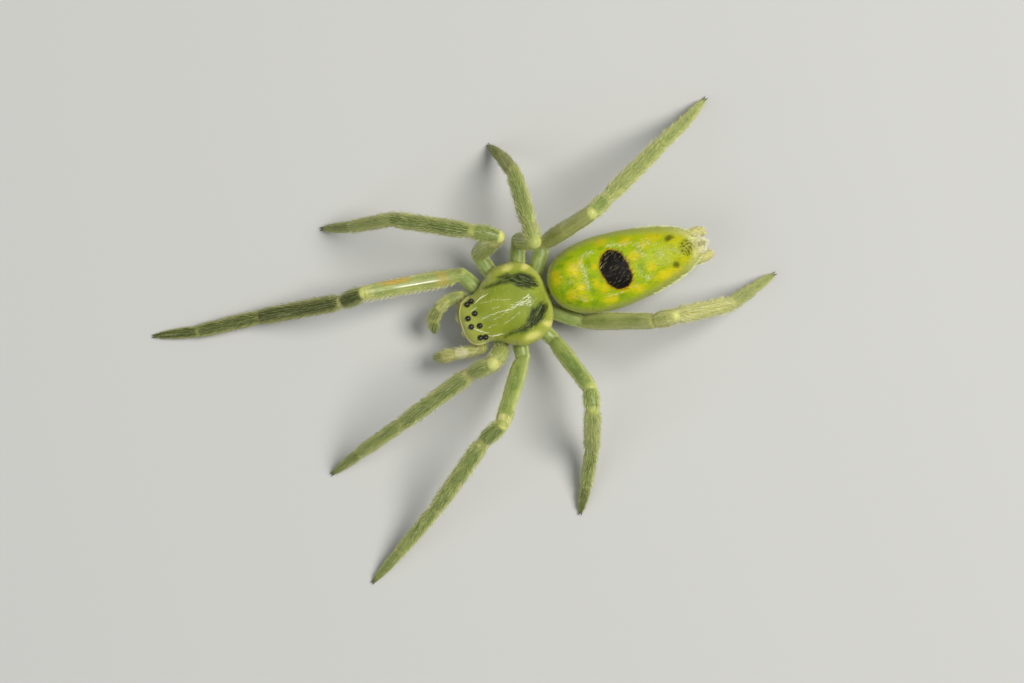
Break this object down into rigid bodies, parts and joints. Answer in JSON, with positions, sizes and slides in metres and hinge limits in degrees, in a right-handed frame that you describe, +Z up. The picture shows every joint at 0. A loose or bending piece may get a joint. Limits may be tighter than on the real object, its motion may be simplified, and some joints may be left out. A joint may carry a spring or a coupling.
{
  "type": "green sac spider",
  "caption": "Small green hunting spider, life size, standing with its long front legs stretched ahead, a pear-shaped front body and a long tapered abdomen.",
  "frame": {"origin": "centre of the bounding box in X and Y, on the floor under the feet", "axes": "+Z up; the head looks along -Y, the abdomen points along +Y; +X is the spider's own left side"},
  "size_m": [0.0114, 0.018, 0.0046],
  "materials": {
    "carapace": "waxy olive green",
    "abdomen": "soft satin yellow-green",
    "leg": "waxy translucent pale green",
    "underside": "waxy pale green",
    "palp": "waxy pale yellow-green",
    "eye": "glossy black",
    "spinneret": "soft cream"
  },
  "bodies": {
    "root": {"abdomen": "abdomen", "anal_tubercle": "spinneret", "carapace": "carapace", "chelicera_left": "palp", "chelicera_right": "palp", "eye_left_front_middle": "eye", "eye_left_front_side": "eye", "eye_left_rear_middle": "eye", "eye_left_rear_side": "eye", "eye_right_front_middle": "eye", "eye_right_front_side": "eye", "eye_right_rear_middle": "eye", "eye_right_rear_side": "eye", "leg_left_1_coxa": "leg", "leg_left_1_femur": "leg", "leg_left_1_foot": "leg", "leg_left_1_tibia": "leg", "leg_left_2_coxa": "leg", "leg_left_2_femur": "leg", "leg_left_2_foot": "leg", "leg_left_2_tibia": "leg", "leg_left_3_coxa": "leg", "leg_left_3_femur": "leg", "leg_left_3_foot": "leg", "leg_left_3_tibia": "leg", "leg_left_4_coxa": "leg", "leg_left_4_femur": "leg", "leg_left_4_foot": "leg", "leg_left_4_tibia": "leg", "leg_right_1_coxa": "leg", "leg_right_1_femur": "leg", "leg_right_1_foot": "leg", "leg_right_1_tibia": "leg", "leg_right_2_coxa": "leg", "leg_right_2_femur": "leg", "leg_right_2_foot": "leg", "leg_right_2_tibia": "leg", "leg_right_3_coxa": "leg", "leg_right_3_femur": "leg", "leg_right_3_foot": "leg", "leg_right_3_tibia": "leg", "leg_right_4_coxa": "leg", "leg_right_4_femur": "leg", "leg_right_4_foot": "leg", "leg_right_4_tibia": "leg", "palp_left_base": "palp", "palp_left_end": "palp", "palp_right_base": "palp", "palp_right_end": "palp", "pedicel": "underside", "spinneret_left_lower": "spinneret", "spinneret_left_upper": "spinneret", "spinneret_right_lower": "spinneret", "spinneret_right_upper": "spinneret", "sternum": "underside"}
  },
  "joints": []
}
